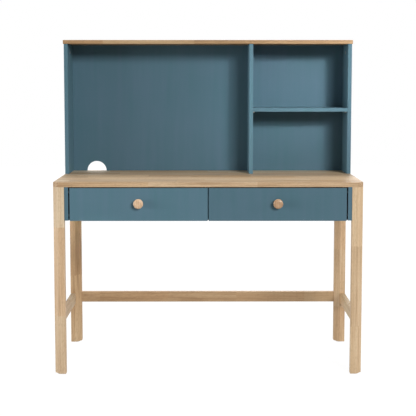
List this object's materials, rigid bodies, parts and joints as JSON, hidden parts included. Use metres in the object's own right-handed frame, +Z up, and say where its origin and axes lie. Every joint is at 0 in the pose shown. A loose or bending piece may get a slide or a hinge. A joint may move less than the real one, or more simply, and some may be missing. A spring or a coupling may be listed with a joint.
{
  "type": "student desk with hutch",
  "caption": "Writing desk on faceted legs with stretchers, drawers on runners under the top, and an open hutch with a divider, a shelf and a half-round cable notch.",
  "frame": {"origin": "on the floor, under the middle of the whole desk with its knobs", "axes": "+X to the sitter's right, +Y to the rear, +Z up; drawers open towards -Y"},
  "size_m": [1.206, 0.523, 1.314],
  "materials": {
    "oak_board": "oak-effect board, satin",
    "oak_solid": "solid light oak, matt oiled",
    "blue_lacquer": "board with matt grey-blue lacquer",
    "drawer_box": "birch plywood, clear lacquer",
    "dowel_wood": "fluted beech",
    "steel": "zinc-plated",
    "runner_steel": "zinc-plated, rolled",
    "zinc": "die-cast",
    "glide_nylon": "moulded"
  },
  "bodies": {
    "desk_frame": {"desktop": "oak_board", "hutch_top": "oak_board", "front_left_leg": "oak_solid", "front_right_leg": "oak_solid", "rear_left_leg": "oak_solid", "rear_right_leg": "oak_solid", "left_stretcher": "oak_solid", "right_stretcher": "oak_solid", "rear_stretcher": "oak_solid", "left_side_panel": "blue_lacquer", "right_side_panel": "blue_lacquer", "centre_partition": "blue_lacquer", "rear_apron": "blue_lacquer", "hutch_left_side": "blue_lacquer", "hutch_right_side": "blue_lacquer", "hutch_divider": "blue_lacquer", "hutch_shelf": "blue_lacquer", "hutch_back": "blue_lacquer", "desk_dowels": "dowel_wood", "hutch_dowels": "dowel_wood", "leg_bolts": "steel", "leg_inserts": "steel", "desktop_brackets": "steel", "case_screws": "steel", "hutch_cam_bolts": "steel", "hutch_bolts": "steel", "shelf_pins": "steel", "hutch_back_screws": "steel", "hutch_cams": "zinc", "foot_glides": "glide_nylon", "left_drawer_left_cabinet_rail": "runner_steel", "left_drawer_right_cabinet_rail": "runner_steel", "right_drawer_left_cabinet_rail": "runner_steel", "right_drawer_right_cabinet_rail": "runner_steel"},
    "left_drawer": {"left_drawer_knob": "oak_solid", "left_drawer_front": "blue_lacquer", "left_drawer_dowels": "dowel_wood", "left_knob_screw": "steel", "left_drawer_screws": "steel", "left_drawer_left_wall": "drawer_box", "left_drawer_right_wall": "drawer_box", "left_drawer_back": "drawer_box", "left_drawer_bottom": "drawer_box", "left_drawer_left_sliding_rail": "runner_steel", "left_drawer_right_sliding_rail": "runner_steel"},
    "right_drawer": {"right_drawer_knob": "oak_solid", "right_drawer_front": "blue_lacquer", "right_drawer_dowels": "dowel_wood", "right_knob_screw": "steel", "right_drawer_screws": "steel", "right_drawer_left_wall": "drawer_box", "right_drawer_right_wall": "drawer_box", "right_drawer_back": "drawer_box", "right_drawer_bottom": "drawer_box", "right_drawer_left_sliding_rail": "runner_steel", "right_drawer_right_sliding_rail": "runner_steel"},
    "left_runner_middle": {"left_drawer_left_middle_rail": "runner_steel", "left_drawer_right_middle_rail": "runner_steel"},
    "right_runner_middle": {"right_drawer_left_middle_rail": "runner_steel", "right_drawer_right_middle_rail": "runner_steel"}
  },
  "joints": [
    {"name": "left_drawer_slide", "type": "slide", "parent": "desk_frame", "child": "left_drawer", "axis": [0, -1, 0], "range_m": [0, 0.34]},
    {"name": "right_drawer_slide", "type": "slide", "parent": "desk_frame", "child": "right_drawer", "axis": [0, -1, 0], "range_m": [0, 0.34]},
    {"name": "left_runner_slide", "type": "slide", "parent": "desk_frame", "child": "left_runner_middle", "axis": [0, -1, 0], "range_m": [0, 0.17]},
    {"name": "right_runner_slide", "type": "slide", "parent": "desk_frame", "child": "right_runner_middle", "axis": [0, -1, 0], "range_m": [0, 0.17]}
  ],
  "couplings": [
    {"joint": "left_runner_slide", "follows": "left_drawer_slide", "ratio": 0.5},
    {"joint": "right_runner_slide", "follows": "right_drawer_slide", "ratio": 0.5}
  ]
}
